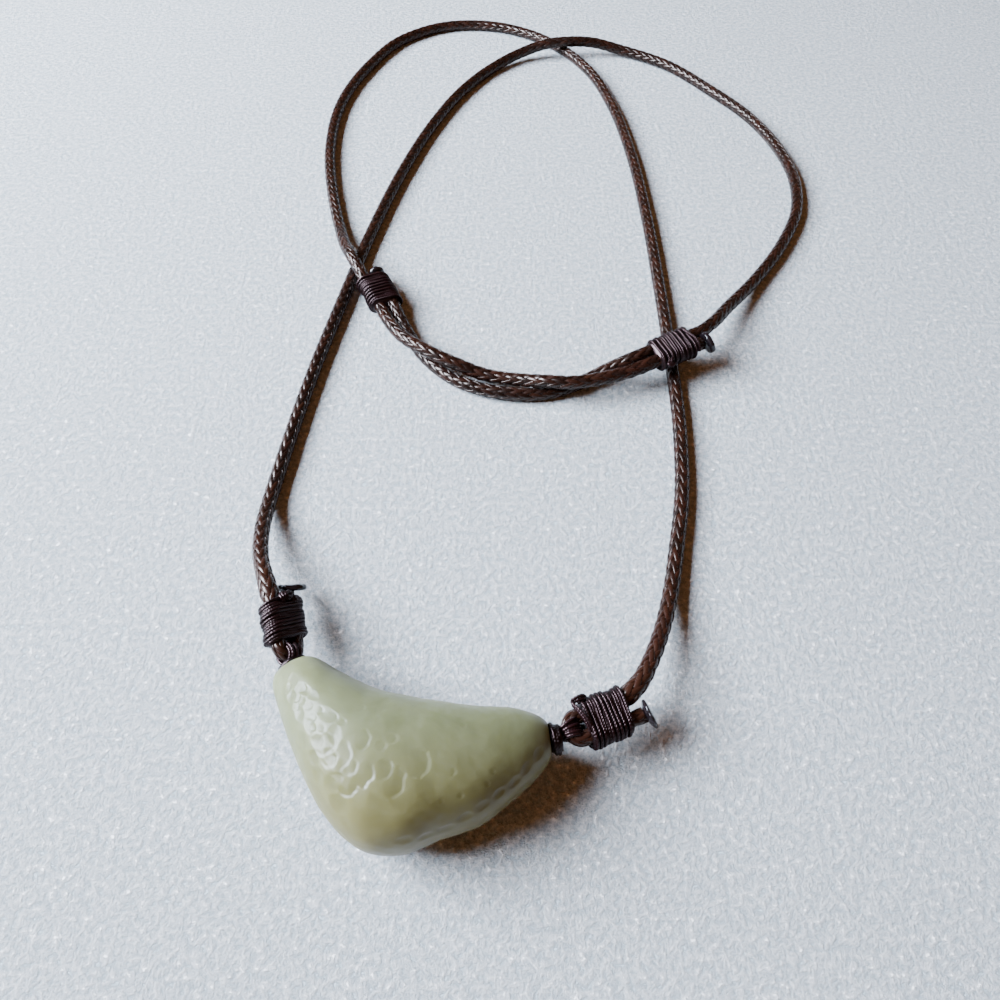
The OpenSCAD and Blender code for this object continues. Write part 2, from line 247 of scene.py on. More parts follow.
routeRight = [
    (29.4, 7.3, 5.45), (31, 8.5, 5.5), (32.5, 10.2, 5.4), (33.9, 12.6, 4.85), (35.2, 15.1, 4.1),
    (36.8, 18.7, 3.1), (39.2, 25.6, 1.8), (41.2, 33.5, 1.35), (43.4, 43.5, 1.28), (45, 58, 1.25),
    (45.6, 78, 1.25), (45.7, 98, 1.25), (45.5, 120, 1.25), (44.2, 145, 1.25), (41.2, 166.5, 1.25),
    (36.4, 183, 1.25), (29.5, 194.5, 1.25), (20.5, 202.8, 1.25), (8.5, 207.7, 1.25), (-4, 207, 1.25),
    (-15.5, 199.5, 1.25), (-23.5, 185.5, 1.25), (-29, 167, 1.25), (-29.5, 146.5, 1.27), (-26.7, 128.5, 1.35),
    (-23, 114, 1.7), (-21, 107.5, 3.1), (-19, 102.8, 4.1), (-17.2, 99.6, 3.4), (-15.9, 97.2, 2.5),
    (-11.7, 88.8, 2.5), (-10.6, 86.2, 2.9), (-6.4, 79.4, 3.9), (-1.2, 75.3, 4.15), (3.6, 73, 3.5),
    (9, 71.4, 2.2), (16.9, 69.3, 2.8), (21.3, 67.9, 4), (25.2, 67.5, 4.15), (31, 68.4, 4.2),
    (39, 70.8, 4.75), (41.4, 72, 4.9), (51, 76.8, 4.9),
]
# the folded ends: place and turn of each eye, length of its whipping and of its stub, and how
# the pressed tip on the stub is shifted, leans up and swings aside
ends = {
    "left": {"eye": (-18.5, 14.9, 6.4), "turn": (48, 6, math.degrees(math.atan2(3, -1))),
             "whipping": 7.3, "stub": 2.6, "tipShift": 1.1, "tipTilt": 34, "tipSwing": -16},
    "right": {"eye": (23.2, 3.15, 6.2), "turn": (0, 6, math.degrees(math.atan2(2, 5))),
              "whipping": 6.8, "stub": 2.1, "tipShift": 0.2, "tipTilt": 22, "tipSwing": 0},
}
eyeR = 1.525            # middle of the folded cord round the link thread
eyeSteps = 24           # round the fold
whippingStart = 0.5
hiddenRun = 1.6         # how far a long cord goes on inside its whipping
legOverlap = 0.3        # how far the folded end runs on past the start of the long cord


def longCord(name, route, end, seedShift):
    along = placeOf(end["eye"], end["turn"]).to_3x3() @ Vector((1, 0, 0))
    start = Vector(route[0])
    line = smoothLine([start - along * hiddenRun] + list(route), braid["step"])
    radii = []
    for s in runAlong(line):
        past = s - hiddenRun
        swell = max(0, 1 - past / braid["swellRun"]) ** 2 * braid["swell"] if past > 0 else braid["swell"]
        blend = min(1, max(0, (past - braid["easeFrom"]) / braid["easeRun"]))
        blend = blend * blend * (3 - 2 * blend)
        radii.append(braid["squeezed"] / 2 * (1 - blend) + (braid["diameter"] / 2 + swell) * blend)
    mesh = braidOn(line, radii, seedShift).toMesh(name)
    print(name, "mesh", len(mesh.polygons), "faces,", round(runAlong(line)[-1]), "mm")
    return mesh, line


# waxed polyester braid: each yarn is a flat bundle of fine filaments under a film of wax, which
# gives a line of hard bright dots on the side of the window and leaves the rest nearly black
def makeBraidMaterial():
    material, tree = newMaterial("waxedPolyesterBraid")
    uv = addNode(tree, "ShaderNodeUVMap", {"uv_map": "along"})
    shade = addNode(tree, "ShaderNodeAttribute", {"attribute_name": "strandShade"})
    place = addNode(tree, "ShaderNodeTexCoord")
    filaments = addNode(tree, "ShaderNodeMapping", {"Scale": (0.4, 18, 1)}, {"Vector": uv.outputs["UV"]})
    fine = addNoise(tree, 1.0, 2.0, filaments.outputs["Vector"])
    wax = addNoise(tree, 900.0, 3.0, place.outputs["Object"])  # patches of wax about 1 mm wide
    yarnColour = addTint(tree, "#130907", "#2a150e", shade.outputs["Fac"])
    axes = addNode(tree, "ShaderNodeSeparateXYZ", None, {"Vector": uv.outputs["UV"]})
    nearWhipping = addNode(tree, "ShaderNodeMapRange",
                   {"From Min": 6.0, "From Max": 28.0, "To Min": 0.7, "To Max": 0.0},
                   {"Value": axes.outputs["X"]})  # lighter copper brown up to 6 mm from a whipping, fading to the plain yarn colour by 28 mm
    copperNearWhipping = addNode(tree, "ShaderNodeMix", {"data_type": "RGBA", 7: toLinear("#301a12")},
                     {0: nearWhipping.outputs["Result"], 6: yarnColour.outputs[2]})
    grain = addNode(tree, "ShaderNodeMix", {"data_type": "RGBA", "blend_type": "MULTIPLY", 0: 0.5},
                    {6: copperNearWhipping.outputs[2], 7: fine.outputs["Color"]})
    gloss = addNode(tree, "ShaderNodeMapRange",
                    {"From Min": 0.35, "From Max": 0.65, "To Min": 0.2, "To Max": 0.34},
                    {"Value": wax.outputs["Fac"]})
    bump = addBump(tree, 0.3, 0.00004, fine.outputs["Fac"])
    shader = addNode(tree, "ShaderNodeBsdfPrincipled",
                     {"IOR": 1.5, "Specular IOR Level": 0.36, "Specular Tint": toLinear("#fff0e6")},
                     {"Base Color": grain.outputs[2], "Roughness": gloss.outputs["Result"],
                      "Normal": bump.outputs["Normal"]})
    addNode(tree, "ShaderNodeOutputMaterial", links={"Surface": shader.outputs["BSDF"]})
    return material


braidMaterial = makeBraidMaterial()
leftMesh, leftLine = longCord("cordLeft", routeLeft, ends["left"], 0)
rightMesh, rightLine = longCord("cordRight", routeRight, ends["right"], 20)
cordLeft = addPiece("cordLeft", leftMesh, braidMaterial, "cord", "cord_left")
cordRight = addPiece("cordRight", rightMesh, braidMaterial, "cord", "cord_right")


def tipPlace(end):  # where the pressed tip sits on its stub, as in the CAD
    reach = whippingStart + end["whipping"] + end["stub"]
    lean = placeOf((reach, -eyeR - end["tipShift"], 0), (-end["turn"][0], 0, 0))
    return placeOf(end["eye"], end["turn"]) @ lean @ placeOf((0, 0, 0), (0, -end["tipTilt"], end["tipSwing"]))


def eyeLoop(name, end, node):  # the folded end of a cord, its stub cut off where the tip leans
    leg = whippingStart + end["whipping"]
    stubEnd = leg + end["stub"]
    local = [Vector((x, -eyeR, 0)) for x in (stubEnd + braid["squeezed"], stubEnd, leg, leg / 2)]
    for k in range(eyeSteps + 1):
        a = -math.pi / 2 - math.pi * k / eyeSteps
        local.append(Vector((eyeR * math.cos(a), eyeR * math.sin(a), 0)))
    local += [Vector((x, eyeR, 0)) for x in (leg / 2, leg - hiddenRun + legOverlap)]
    matrix = placeOf(end["eye"], end["turn"])
    line = smoothLine([matrix @ p for p in local], braid["eyeStep"])
    mesh = braidOn(line, [braid["squeezed"] / 2] * len(line), braid["eyeSeed"] + len(name)).toMesh(name)
    tip = tipPlace(end)
    bm = bmesh.new()
    bm.from_mesh(mesh)
    cut = bmesh.ops.bisect_plane(bm, geom=bm.verts[:] + bm.edges[:] + bm.faces[:], dist=1e-7,
                                 plane_co=tip.translation * mm, plane_no=tip.to_3x3() @ Vector((1, 0, 0)),
                                 clear_outer=True)
    bmesh.ops.edgeloop_fill(bm, edges=[e for e in cut["geom_cut"] if isinstance(e, bmesh.types.BMEdge)])
    bm.to_mesh(mesh)
    bm.free()
    return addPiece(name, mesh, braidMaterial, "cord", node)


eyeLeft = eyeLoop("eyeLoopLeft", ends["left"], "eye_loop_left")
eyeRight = eyeLoop("eyeLoopRight", ends["right"], "eye_loop_right")
print("cords and eyes done")


# wound thread: two fine plies laid almost side by side
thread = {
    "plyRadius": 0.23,     # mm
    "plyOffset": 0.2,
    "plyTwist": 26,        # how slowly the two plies turn round each other
    "lobe": 0.32,          # how far the twist of one ply stands out
    "lobeLead": 0.8,       # gives a bright dot every 0.4 mm
    "sides": 8,
    "step": 0.1,
    "tuckTurns": 0.12,     # how soon an end of a winding dips under, and how far
    "tuckDepth": 0.5,
    "sleeveInset": 0.25,   # the dark inner turns that close the gaps
    "sleeveSides": 32,
    "sleeveSteps": 6,
    "seed": 3,
}


def threadOn(sweep, line, shade):  # two plies along a line
    frames, run = framesAlong(line), runAlong(line)
    for ply in (0, 1):
        centres = []
        for p, (ahead, side, up), s in zip(line, frames, run):
            a = math.pi * ply + 2 * math.pi * s / thread["plyTwist"]
            centres.append(p + (side * math.cos(a) + up * math.sin(a)) * thread["plyOffset"])
        rings = []
        for centre, (ahead, side, up), s in zip(centres, framesAlong(centres), run):
            ring = []
            for k in range(thread["sides"]):
                a = 2 * math.pi * k / thread["sides"]
                twist = 2 * a - 4 * math.pi * s / thread["lobeLead"]
                r = thread["plyRadius"] * (1 + thread["lobe"] * math.cos(twist))
                ring.append(centre + (up * math.cos(a) + side * math.sin(a)) * r)
            rings.append(ring)
        sweep.addTube(rings, run, shade + 0.3 * ply)


def slotPoint(t, r, half):  # a point of the outline round two cords, t turns from the middle of the top
    straight, arc = 2 * half, math.pi * r
    u = (t % 1) * 2 * (straight + arc)
    if u < half:
        return u, r
    if u < half + arc:
        a = math.pi / 2 - (u - half) / r
        return half + r * math.cos(a), r * math.sin(a)
    if u < half + arc + straight:
        return half - (u - half - arc), -r
    if u < half + 2 * arc + straight:
        a = -math.pi / 2 - (u - half - arc - straight) / r
        return -half + r * math.cos(a), r * math.sin(a)
    return u - 2 * straight - 2 * arc, r


def windingLine(setup, rng):  # close turns round two cords, with both ends tucked under
    r, half, turns = setup["r"], setup["half"], setup["turns"]
    perimeter = 4 * half + 2 * math.pi * r
    count = round(turns * perimeter / thread["step"])
    drift = [rng.uniform(-1, 1) for _ in range(turns + 3)]
    line = []
    for i in range(count + 1):
        t = turns * i / count
        y, z = slotPoint(t + setup["from"], r, half)
        k = int(t)
        wander = drift[k] * (1 - t + k) + drift[k + 1] * (t - k)
        tuck = max(0, 1 - min(t, turns - t) / thread["tuckTurns"]) * thread["tuckDepth"]
        grow = 1 + (wander * setup["uneven"] - tuck) / r
        x = setup["start"] + setup["run"] * t / turns + wander * setup["uneven"] + setup["slant"] * y
        line.append(Vector((x, y * grow, z * grow)))
    return line


def winding(name, setup, matrix, node):
    rng = random.Random(thread["seed"] + setup["seed"])
    sweep = Sweep()
    threadOn(sweep, [matrix @ q for q in windingLine(setup, rng)], rng.random() * 0.4)
    for extra in setup.get("extras", []):  # knots and ends of the thread that lie on the turns
        threadOn(sweep, [matrix @ q for q in smoothLine(extra, thread["step"])], 0.4)
    sleeve = []
    sides, parts = thread["sleeveSides"], thread["sleeveSteps"]
    steps = [setup["start"] + setup["run"] * k / parts for k in range(parts + 1)]
    r, half = setup["r"] - thread["sleeveInset"], setup["half"]
    for x in steps:
        ring = [slotPoint(-k / sides, r, half) for k in range(sides)]
        sleeve.append([matrix @ Vector((x + setup["slant"] * y, y, z)) for y, z in ring])
    sweep.addTube(sleeve, steps, 0)
    return addPiece(name, sweep.toMesh(name), threadMaterial, "thread", node)


# twisted polyester thread: fine filaments in hard-twisted plies, darker and more purple than the
# cord, with a small pinkish glint on each twist
def makeThreadMaterial(name, darkHex, lightHex, roughness):
    material, tree = newMaterial(name)
    uv = addNode(tree, "ShaderNodeUVMap", {"uv_map": "along"})
    shade = addNode(tree, "ShaderNodeAttribute", {"attribute_name": "strandShade"})
    filaments = addNode(tree, "ShaderNodeMapping", {"Scale": (1.5, 9, 1)}, {"Vector": uv.outputs["UV"]})
    fine = addNoise(tree, 1.0, 3.0, filaments.outputs["Vector"])
    plyColour = addTint(tree, darkHex, lightHex, shade.outputs["Fac"])
    grain = addNode(tree, "ShaderNodeMix", {"data_type": "RGBA", "blend_type": "MULTIPLY", 0: 0.6},
                    {6: plyColour.outputs[2], 7: fine.outputs["Color"]})
    bump = addBump(tree, 0.5, 0.00004, fine.outputs["Fac"])
    shader = addNode(tree, "ShaderNodeBsdfPrincipled",
                     {"IOR": 1.5, "Roughness": roughness, "Specular IOR Level": 0.33,
                      "Specular Tint": toLinear("#ffd8dc")},
                     {"Base Color": grain.outputs[2], "Normal": bump.outputs["Normal"]})
    addNode(tree, "ShaderNodeOutputMaterial", links={"Surface": shader.outputs["BSDF"]})
    return material


threadMaterial = makeThreadMaterial("twistedPolyesterThread", "#0c0506", "#1f0d10", 0.28)
# the collars' near-black is partly the thread's dark wax and partly painted shade where they sit in the
# stone's mouths
collarShadedMaterial = makeThreadMaterial("darkWaxedThreadAndShade", "#020102", "#060405", 0.26)
windings = {
    "whippingLeft": {"r": 1.65, "half": eyeR, "turns": 9, "start": 0.8, "run": 6.8, "from": 0.45,
                     "slant": -0.42, "uneven": 0.05, "seed": 1},
    "whippingRight": {"r": 1.65, "half": eyeR, "turns": 8, "start": 0.8, "run": 6.2, "from": 0.45,
                      "slant": 0.05, "uneven": 0.05, "seed": 2},
    "slideKnotLeft": {"r": 1.8, "half": 1.342, "turns": 8, "start": -4, "run": 8, "from": 0.4, "slant": 0.06,
                      "uneven": 0.08, "seed": 3},
    "slideKnotRight": {"r": 1.8, "half": 1.342, "turns": 8, "start": -4, "run": 8, "from": 0.4, "slant": 0.02,
                       "uneven": 0.12, "seed": 4},
}
# a raised loop at the start of the right whipping, a tangle at the far end of the left one, and
# at the right slide knot a slanting end across the turns and a loose nub below
windings["whippingRight"]["extras"] = [
    [(2.3, 3.3, 0.6), (1.7, 3.3, 1.5), (0.9, 3.3, 1.7), (0.2, 3.2, 1.5), (-0.1, 2.7, 1.9), (0.1, 1.9, 2.2),
     (0.4, 0.9, 2.25), (0.65, 0, 2.1), (0.8, -0.8, 1.75), (0.9, -1.4, 1.4)],
]
windings["whippingLeft"]["extras"] = [
    [(6.4, 0.6, 2.1), (6.9, 1.3, 2.3), (7.5, 1.2, 2.2), (7.7, 0.4, 2.15), (7.2, -0.2, 2.3), (6.7, 0.3, 2.5),
     (7.0, 1.0, 2.6), (7.5, 0.5, 2.6), (7.3, -0.5, 2.3), (6.8, -1.2, 2.1)],
]
windings["slideKnotRight"]["extras"] = [
    [(3.9, 2.9, 0.6), (3.7, 2.3, 1.8), (3.3, 1.2, 2.3), (3.5, 0, 2.35), (3.9, -1.3, 2.2), (4.0, -2.5, 1.6),
     (3.9, -3.1, 0.5)],
    [(-2.4, -2.9, 1.4), (-2.9, -3.5, 1.0), (-3.3, -3.9, 1.1), (-2.9, -4.1, 0.9), (-2.2, -3.7, 0.7),
     (-1.8, -3.2, 0.2)],
]


whippingLeft = winding("whippingLeft", windings["whippingLeft"],
                       placeOf(ends["left"]["eye"], ends["left"]["turn"]), "whipping_left")
whippingRight = winding("whippingRight", windings["whippingRight"],
                        placeOf(ends["right"]["eye"], ends["right"]["turn"]), "whipping_right")
slideKnotLeft = winding("slideKnotLeft", windings["slideKnotLeft"],
                        placeOf((-12.6, 93.6, 2.5), (0, 0, math.degrees(math.atan2(-2, 1)))),
                        "slide_knot_left")
slideKnotRight = winding("slideKnotRight", windings["slideKnotRight"],
                         placeOf((45, 75.3, 4.9), (0, 0, math.degrees(math.atan2(1, 2)))),
                         "slide_knot_right")
print("windings done")


# link thread and collars between the stone and the eyes
drill = {
    "turn": (-8, -2, 6.4), "left": (-17.05, 11.3, 6.4), "right": (18.9, 1.4, 6.4),
    "bore": 2.2, "seat": 4.9, "turnRoom": 0.8, "corners": 64,
}
link = {
    "past": {"left": 1.35, "right": 1.75},  # how far the straight runs go on past a seat
    "passes": (-0.38, 0.38),                # the thread goes through the stone twice
    "rounds": ((-0.75, 1.4), (0, 1.46), (0.75, 1.4)),  # turns round the folded cord: shift, radius
    "fan": 0.3,                             # how much the turns spread on the far side
    "corners": 70,
    "step": 0.4,
}
collars = {
    "left": {"radii": [1.85, 1.8, 1.8], "run": 1.1},
    "right": {"radii": [1.9, 1.65, 1.6, 1.75], "run": 1.7},
    "start": 0.45, "shorter": 0.8, "corners": 90,      # of the wound thread, in mm and to a turn
    "sleeveR": 1.7, "sleeveStart": 0.12, "sleeveSides": 32,
}


def headingOf(a, b):
    return math.atan2(b[1] - a[1], b[0] - a[0])


def linkThread():
    sweep = Sweep()
    turn = Vector(drill["turn"])
    for side, out in link["past"].items():
        seat = Vector(drill[side])
        ahead = (seat - turn).normalized()
        for shift in link["passes"]:
            across = Vector((-ahead.y, ahead.x, 0)) * shift
            points = [turn + across, seat + across, seat + ahead * out + across]
            threadOn(sweep, smoothLine(points, link["step"]), 0.3)
        matrix = placeOf(ends[side]["eye"], ends[side]["turn"])
        local = math.degrees(headingOf(seat, ends[side]["eye"])) - ends[side]["turn"][2]
        matrix = matrix @ Matrix.Rotation(math.radians(local), 4, "Z") @ Matrix.Translation((-eyeR, 0, 0))
        for shift, r in link["rounds"]:
            ring = []
            for k in range(link["corners"] + 1):
                a = 2 * math.pi * k / link["corners"]
                spread = shift * (1 + link["fan"] * math.cos(a))
                ring.append(matrix @ Vector((r * math.cos(a), spread, r * math.sin(a))))
            threadOn(sweep, ring, 0.5)
    return addPiece("linkThread", sweep.toMesh("linkThread"), threadMaterial, "thread", "link_thread")


def collar(name, side, node):
    sweep = Sweep()
    radii, run = collars[side]["radii"], collars[side]["run"]
    seat = Vector(drill[side])
    matrix = placeOf(seat, (0, 0, math.degrees(headingOf(drill["turn"], seat))))
    turns = len(radii) - 1
    count = collars["corners"] * turns
    line = []
    for i in range(count + 1):
        t = turns * i / count
        k = min(turns - 1, int(t))
        r = radii[k] * (1 - t + k) + radii[k + 1] * (t - k)
        a = 2 * math.pi * t - math.pi / 2
        x = collars["start"] + (run - collars["shorter"]) * t / turns
        line.append(matrix @ Vector((x, r * math.cos(a), r * math.sin(a))))
    threadOn(sweep, line, 0.1)
    sides, r = collars["sleeveSides"], collars["sleeveR"]
    sleeve = [[matrix @ Vector((x, r * math.cos(a), r * math.sin(a)))
               for a in (2 * math.pi * k / sides for k in range(sides))]
              for x in (collars["sleeveStart"], run / 2, run)]
    sweep.addTube(sleeve, [0, run / 2, run], 0)
    return addPiece(name, sweep.toMesh(name), collarShadedMaterial, "thread", node)


linkPiece = linkThread()
collarLeft = collar("collarLeft", "left", "collar_left")
collarRight = collar("collarRight", "right", "collar_right")
print("link thread and collars done")


# burnt and pressed cord ends: each half outline along its stub: distance along, radius
beads = {
    "flat": [(0.02, 0.6), (0.03, 1.3), (0.08, 1.95), (0.3, 2.15), (0.75, 2.15), (0.98, 2), (1.03, 1.4),
             (0.95, 0.7), (0.93, 0)],
    "domed": [(0.02, 0.9), (0.1, 1.3), (0.3, 1.75), (0.5, 2.08), (0.66, 2.15), (0.82, 2.05), (0.95, 1.6),
              (1.0, 1), (0.98, 0.4), (0.97, 0)],
    "cap": [(0.07, 1.0), (0.2, 1.45), (0.5, 1.68), (1.0, 1.64), (1.35, 1.35), (1.5, 0.85), (1.55, 0)],
    "corners": 40,
    "rough": 0.12,         # how far the ripples go, in mm along the stub
    "sideways": 0.6,       # their share across it
    "ripple": 0.9, "fineRipple": 2.6, "fineShare": 0.4,
    "calm": 1.5,           # within this radius the ripples fade to nothing
}


def meltedBead(name, profile, matrix, node, seed):
    bm = bmesh.new()
    vertices = [bm.verts.new((x, 0, r)) for x, r in [(profile[0][0], 0)] + profile]
    edges = [bm.edges.new(pair) for pair in zip(vertices, vertices[1:])]
    bmesh.ops.spin(bm, geom=vertices + edges, cent=(0, 0, 0), axis=(1, 0, 0), angle=2 * math.pi,
                   steps=beads["corners"], use_merge=True)
    bmesh.ops.remove_doubles(bm, verts=bm.verts, dist=0.001)
    bmesh.ops.recalc_face_normals(bm, faces=bm.faces)
    bmesh.ops.subdivide_edges(bm, edges=bm.edges, cuts=1, smooth=0.6, use_grid_fill=True)
    for v in bm.verts:
        swell = noise.noise(v.co * beads["ripple"] + Vector((seed, 0, 0)))
        swell += beads["fineShare"] * noise.noise(v.co * beads["fineRipple"] + Vector((0, seed, 0)))
        edge = min(1, Vector((v.co.y, v.co.z)).length / beads["calm"])
        v.co.y *= 1 + beads["rough"] * swell * edge * beads["sideways"]
        v.co.z *= 1 + beads["rough"] * swell * edge * beads["sideways"]
        v.co.x += beads["rough"] * swell * edge
    bmesh.ops.transform(bm, matrix=Matrix.Scale(mm, 4) @ matrix, verts=bm.verts)
    mesh = bpy.data.meshes.new(name)
    bm.to_mesh(mesh)
    bm.free()
    return addPiece(name, mesh, meltedMaterial, "melted_cord", node)


# polyester burnt with a lighter and pressed flat: a glossy black skin with slow ripples and a few pits
def makeMeltedMaterial():
    material, tree = newMaterial("burntPressedPolyester")
    place = addNode(tree, "ShaderNodeTexCoord")
    ripple = addNoise(tree, 1100.0, 3.0, place.outputs["Object"])
    colour = addTint(tree, "#08070a", "#191316", ripple.outputs["Fac"])
    gloss = addNode(tree, "ShaderNodeMapRange", {"To Min": 0.12, "To Max": 0.24},
                    {"Value": ripple.outputs["Fac"]})
    bump = addBump(tree, 0.5, 0.0002, ripple.outputs["Fac"])
    shader = addNode(tree, "ShaderNodeBsdfPrincipled", {"IOR": 1.55, "Specular IOR Level": 0.35},
                     {"Base Color": colour.outputs[2], "Roughness": gloss.outputs["Result"],
                      "Normal": bump.outputs["Normal"]})
    addNode(tree, "ShaderNodeOutputMaterial", links={"Surface": shader.outputs["BSDF"]})
    return material


meltedMaterial = makeMeltedMaterial()


def endPlace(route, shift, tilt):  # just past the last point of a route
    last, before = Vector(route[-1]), Vector(route[-2])
    lean = placeOf(last, (0, -tilt, math.degrees(headingOf(before, last))))
    return lean @ Matrix.Translation((braid["diameter"] / 2 * math.sin(math.radians(tilt)), shift, 0))


tipLeft = meltedBead("meltedTipLeft", beads["flat"], tipPlace(ends["left"]), "melted_tip_left", 1)
tipRight = meltedBead("meltedTipRight", beads["domed"], tipPlace(ends["right"]), "melted_tip_right", 2)
endLeft = meltedBead("meltedEndLeft", beads["cap"], endPlace(routeLeft, -0.3, 0), "melted_end_left", 3)
endRight = meltedBead("meltedEndRight", beads["flat"], endPlace(routeRight, -0.5, 15), "melted_end_right", 4)
print("melted ends done")


# the carved stone
stone = {
    "length": 39.2, "middle": 6.4, "square": 2.25, "blunt": 2.6, "step": 5,
    # every 5 mm from the left end: middle in Y, half depth, rise and drop from the widest outline
    "stations": [(9.4, 4.6, 6, 3.8), (5.9, 9.1, 8, 5.4), (1, 10.3, 9, 6.3), (-2.1, 10.4, 9.2, 6.35),
                 (-2.9, 9.9, 8.9, 6.4), (-2.4, 8.7, 8.2, 6.3), (-1.8, 8.1, 7.3, 6), (-0.1, 7.2, 6.4, 5.6),
                 (1.1, 6.3, 5.4, 5.2)],
    "around": 260, "along": 340, "gather": 0.5, "rim": 0.2, "ragged": 0.2,
    "lumps": [(0.3, 0.16), (0.8, 0.07)],  # how many to a mm, and how deep in mm
    "lumpsFrom": 3, "lumpsRun": 3,        # they start at this height and are full this much higher
    "markReach": 0.6,                     # how far from its middle a mark is looked for, in its own sizes
    "raggedRate": 1.3,
    # flats left by grinding and deeper tool marks, both on the upper face: X, Y, length, width,
    # heading of the stroke in degrees, depth
    "flats": [
        (-15.4, 7.6, 2.6, 1.8, -60, 0.13), (-13.2, 6, 2.2, 1.6, -30, 0.12), (-15.2, 5.4, 2, 1.6, -70, 0.13),
        (-13.6, 4.6, 1.8, 1.4, -20, 0.12), (-12, 5, 2, 1.4, -40, 0.08), (-13.6, 2.8, 2.2, 1.6, -60, 0.13),
        (-11.8, 1, 2.4, 1.6, -50, 0.14), (-9.8, 2.4, 2.4, 1.8, -20, 0.08), (-12.6, -0.6, 2.6, 1.8, -70, 0.12),
        (-10.4, -1, 2.2, 1.8, -10, 0.14), (-8.2, -0.2, 2.8, 1.8, -80, 0.1), (-11, -2.8, 2.4, 1.6, -65, 0.13),
        (-8.6, -3, 2.6, 1.8, -40, 0.13), (-10.2, -4.8, 2.4, 1.8, -50, 0.12), (-8.4, -6.2, 2.6, 2, -60, 0.12),
        (-6.8, -4.8, 3.4, 2.2, -70, 0.08), (-7.2, -8.2, 3.6, 2.6, -60, 0.08), (-4.6, -6.8, 4, 3, -85, 0.09),
        (-2.4, -8.4, 3.6, 2.6, -60, 0.08), (0.6, -7.4, 4, 3, -80, 0.07), (3.6, -6.2, 3.8, 3, -80, 0.06),
        (-3.4, 0.8, 3.6, 3, -60, 0.05), (1, -1.6, 3.6, 2.8, -70, 0.05), (5.6, -3.6, 4, 3, -60, 0.05),
        (10, -3, 4.4, 3, -50, 0.05),
        (17.4, -1.2, 2.4, 1.5, -125, 0.12), (15.8, -3.2, 2.2, 1.4, -130, 0.13),
        (14.2, -4.9, 2.4, 1.5, -138, 0.12), (12.2, -6.4, 2.2, 1.4, -142, 0.14),
        (10.2, -7.9, 2.4, 1.5, -145, 0.12), (8, -9.2, 2.3, 1.4, -150, 0.14),
        (5.7, -10.3, 2.4, 1.5, -156, 0.12), (3.3, -11.2, 2.3, 1.4, -160, 0.13),
        (0.8, -11.8, 2.4, 1.5, -168, 0.12),
    ],
    # X and Y of the gouges were computed by a separate script and rounded to 0.2 mm, not chosen by hand
    "gouges": [
        (-14, 6.2, 2.2, 1.6, -20, 0.13), (-14.4, 5.4, 1.8, 1.4, -80, 0.12), (-16, 6.6, 1.2, 1.6, 0, 0.1),
        (-14.2, 4, 1.2, 1.2, -20, 0.1), (-12.4, 3.6, 1.4, 1.2, -10, 0.1), (-10.8, 3, 1.4, 1.2, -10, 0.1),
        (-11.6, 2, 1.4, 1.3, 0, 0.11), (-9.2, 2.2, 2.4, 1.8, 0, 0.09), (-10.2, 0.8, 1.4, 1.1, -20, 0.11),
        (-11.2, 0.8, 1.1, 1, -40, 0.1), (-9.4, -0.4, 1.2, 1.2, -20, 0.11), (-9.2, -1.4, 3, 2.6, -10, 0.15),
        (-9.6, -1.8, 2.4, 2.6, -70, 0.13), (-9, -3.2, 2.2, 1.6, -85, 0.11), (-8.4, -3.4, 1.4, 1.8, -20, 0.13),
        (-7.8, -5.8, 2.4, 2.4, 25, 0.11), (-7, -2.8, 2.6, 3.6, -5, 0.1), (-6.2, -6.2, 3, 3.4, -85, 0.17),
        (-4.2, -5.4, 2.4, 3.4, -35, 0.18), (-5.8, -4.2, 2.2, 2, -45, 0.12), (-1.8, -4.4, 2.4, 2.8, -15, 0.16),
        (-0.4, -6, 2.6, 4.2, -10, 0.15), (-4.6, -1, 2, 2.6, -5, 0.11), (-2.4, -2, 1.6, 1.2, -5, 0.1),
        (-1, -0.8, 1.6, 1.4, 0, 0.09), (-5.6, 3.4, 1.4, 1.2, 0, 0.07), (-7.6, 1.4, 1.2, 1, -20, 0.08),
        (2.4, -3.8, 3.2, 3.8, -5, 0.17), (7.4, -7, 0.9, 0.7, -30, 0.12), (10.8, -5.6, 0.9, 0.7, -30, 0.12),
        (5.2, -7.6, 0.8, 0.6, -40, 0.1), (11.4, -4.2, 1, 0.6, -20, 0.1), (7.6, 1.4, 1, 0.8, -10, 0.07),
        (6.6, -4.6, 0.8, 0.9, -10, 0.09),
    ],
}


def stationAt(column, x):  # one column of the stations at x, smooth between rows
    rows = stone["stations"]
    s = x / stone["step"] + (len(rows) - 1) / 2
    i = max(0, min(len(rows) - 2, math.floor(s)))
    t = s - i
    a, b, c, d = (rows[max(0, min(len(rows) - 1, i + k))][column] for k in (-1, 0, 1, 2))
    return b + 0.5 * t * (c - a + t * (2 * a - 5 * b + 4 * c - d + t * (3 * (b - c) + d - a)))


def stonePoint(x, a):
    end = (1 - min(1, abs(x) / (stone["length"] / 2)) ** stone["blunt"]) ** (1 / stone["blunt"])
    power = 2 / stone["square"]
    c, s = math.cos(a), math.sin(a)
    y = stationAt(0, x) + end * stationAt(1, x) * math.copysign(abs(c) ** power, c)
    reach = end * stationAt(2 if s > 0 else 3, x)
    return Vector((x, y, stone["middle"] + reach * math.copysign(abs(s) ** power, s)))


def onFace(x, y):  # the point of the upper face above X, Y
    return min((stonePoint(x, math.radians(a)) for a in range(0, 181, 2)), key=lambda p: abs(p.y - y))


def flatDepth(along, across):
    return max(0, 1 - along * along - across * across)


# a shallow start that deepens along the stroke and ends on a steep U-shaped rim
def gougeDepth(along, across):
    inside = 1 - math.hypot(along, across)
    return max(0, min(1, inside / stone["rim"])) * (0.5 + 0.5 * along)


